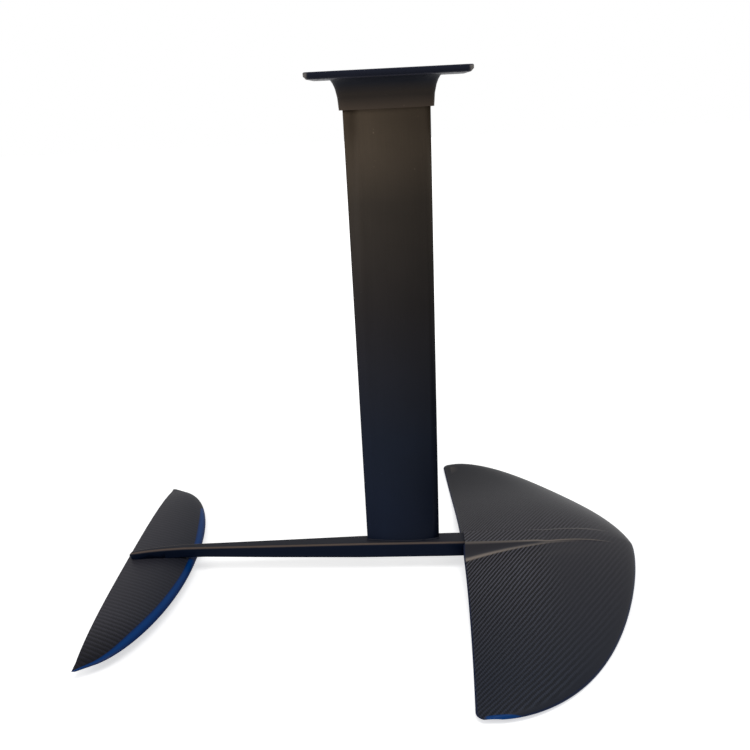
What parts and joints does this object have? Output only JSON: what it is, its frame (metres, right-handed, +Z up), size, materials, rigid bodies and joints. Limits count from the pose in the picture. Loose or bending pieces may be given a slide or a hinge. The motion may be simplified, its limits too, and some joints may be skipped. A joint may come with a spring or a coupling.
{
  "type": "hydrofoil mast and wings",
  "caption": "Hydrofoil set: a flared board plate on a straight foil-section mast, bolted to a slim fuselage with a broad swept front wing and a small rear stabiliser.",
  "frame": {"origin": "centre of the board plate's top face, which is also the centre of its four bolt holes", "axes": "+Z up towards the board, square to the plate; +X forwards, towards the front wing's nose; +Y to the side, along the wings' span"},
  "size_m": [0.7828, 0.6338, 0.7174],
  "materials": {
    "carbon": "woven carbon laminate, satin clear coat",
    "foam": "closed-cell core",
    "foot": "black anodised",
    "fuselage": "black anodised, bead-blasted",
    "insert": "turned",
    "laminate": "solid laminate block",
    "mast": "black anodised, fine brushed along the span",
    "plate": "black anodised, fine bead-blasted",
    "seal": "soft closed-cell rubber",
    "steel": "stainless, passivated",
    "underside": "blue pigmented laminate, satin clear coat"
  },
  "bodies": {
    "root": {"mast_plate": "plate", "mast": "mast", "mast_head_plugs": "seal", "mast_foot": "foot", "mast_thread_inserts": "steel", "mast_plate_screws": "steel", "mast_foot_screws": "steel", "fuselage": "fuselage", "fuselage_nose_inserts": "steel", "fuselage_tail_inserts": "steel", "front_wing_top_skin": "carbon", "front_wing_bottom_skin": "underside", "front_wing_core": "foam", "front_wing_socket": "laminate", "front_wing_bushes": "insert", "front_wing_screws": "steel", "stabiliser_top_skin": "carbon", "stabiliser_bottom_skin": "underside", "stabiliser_core": "foam", "stabiliser_bushes": "insert", "stabiliser_screws": "steel"}
  },
  "joints": []
}
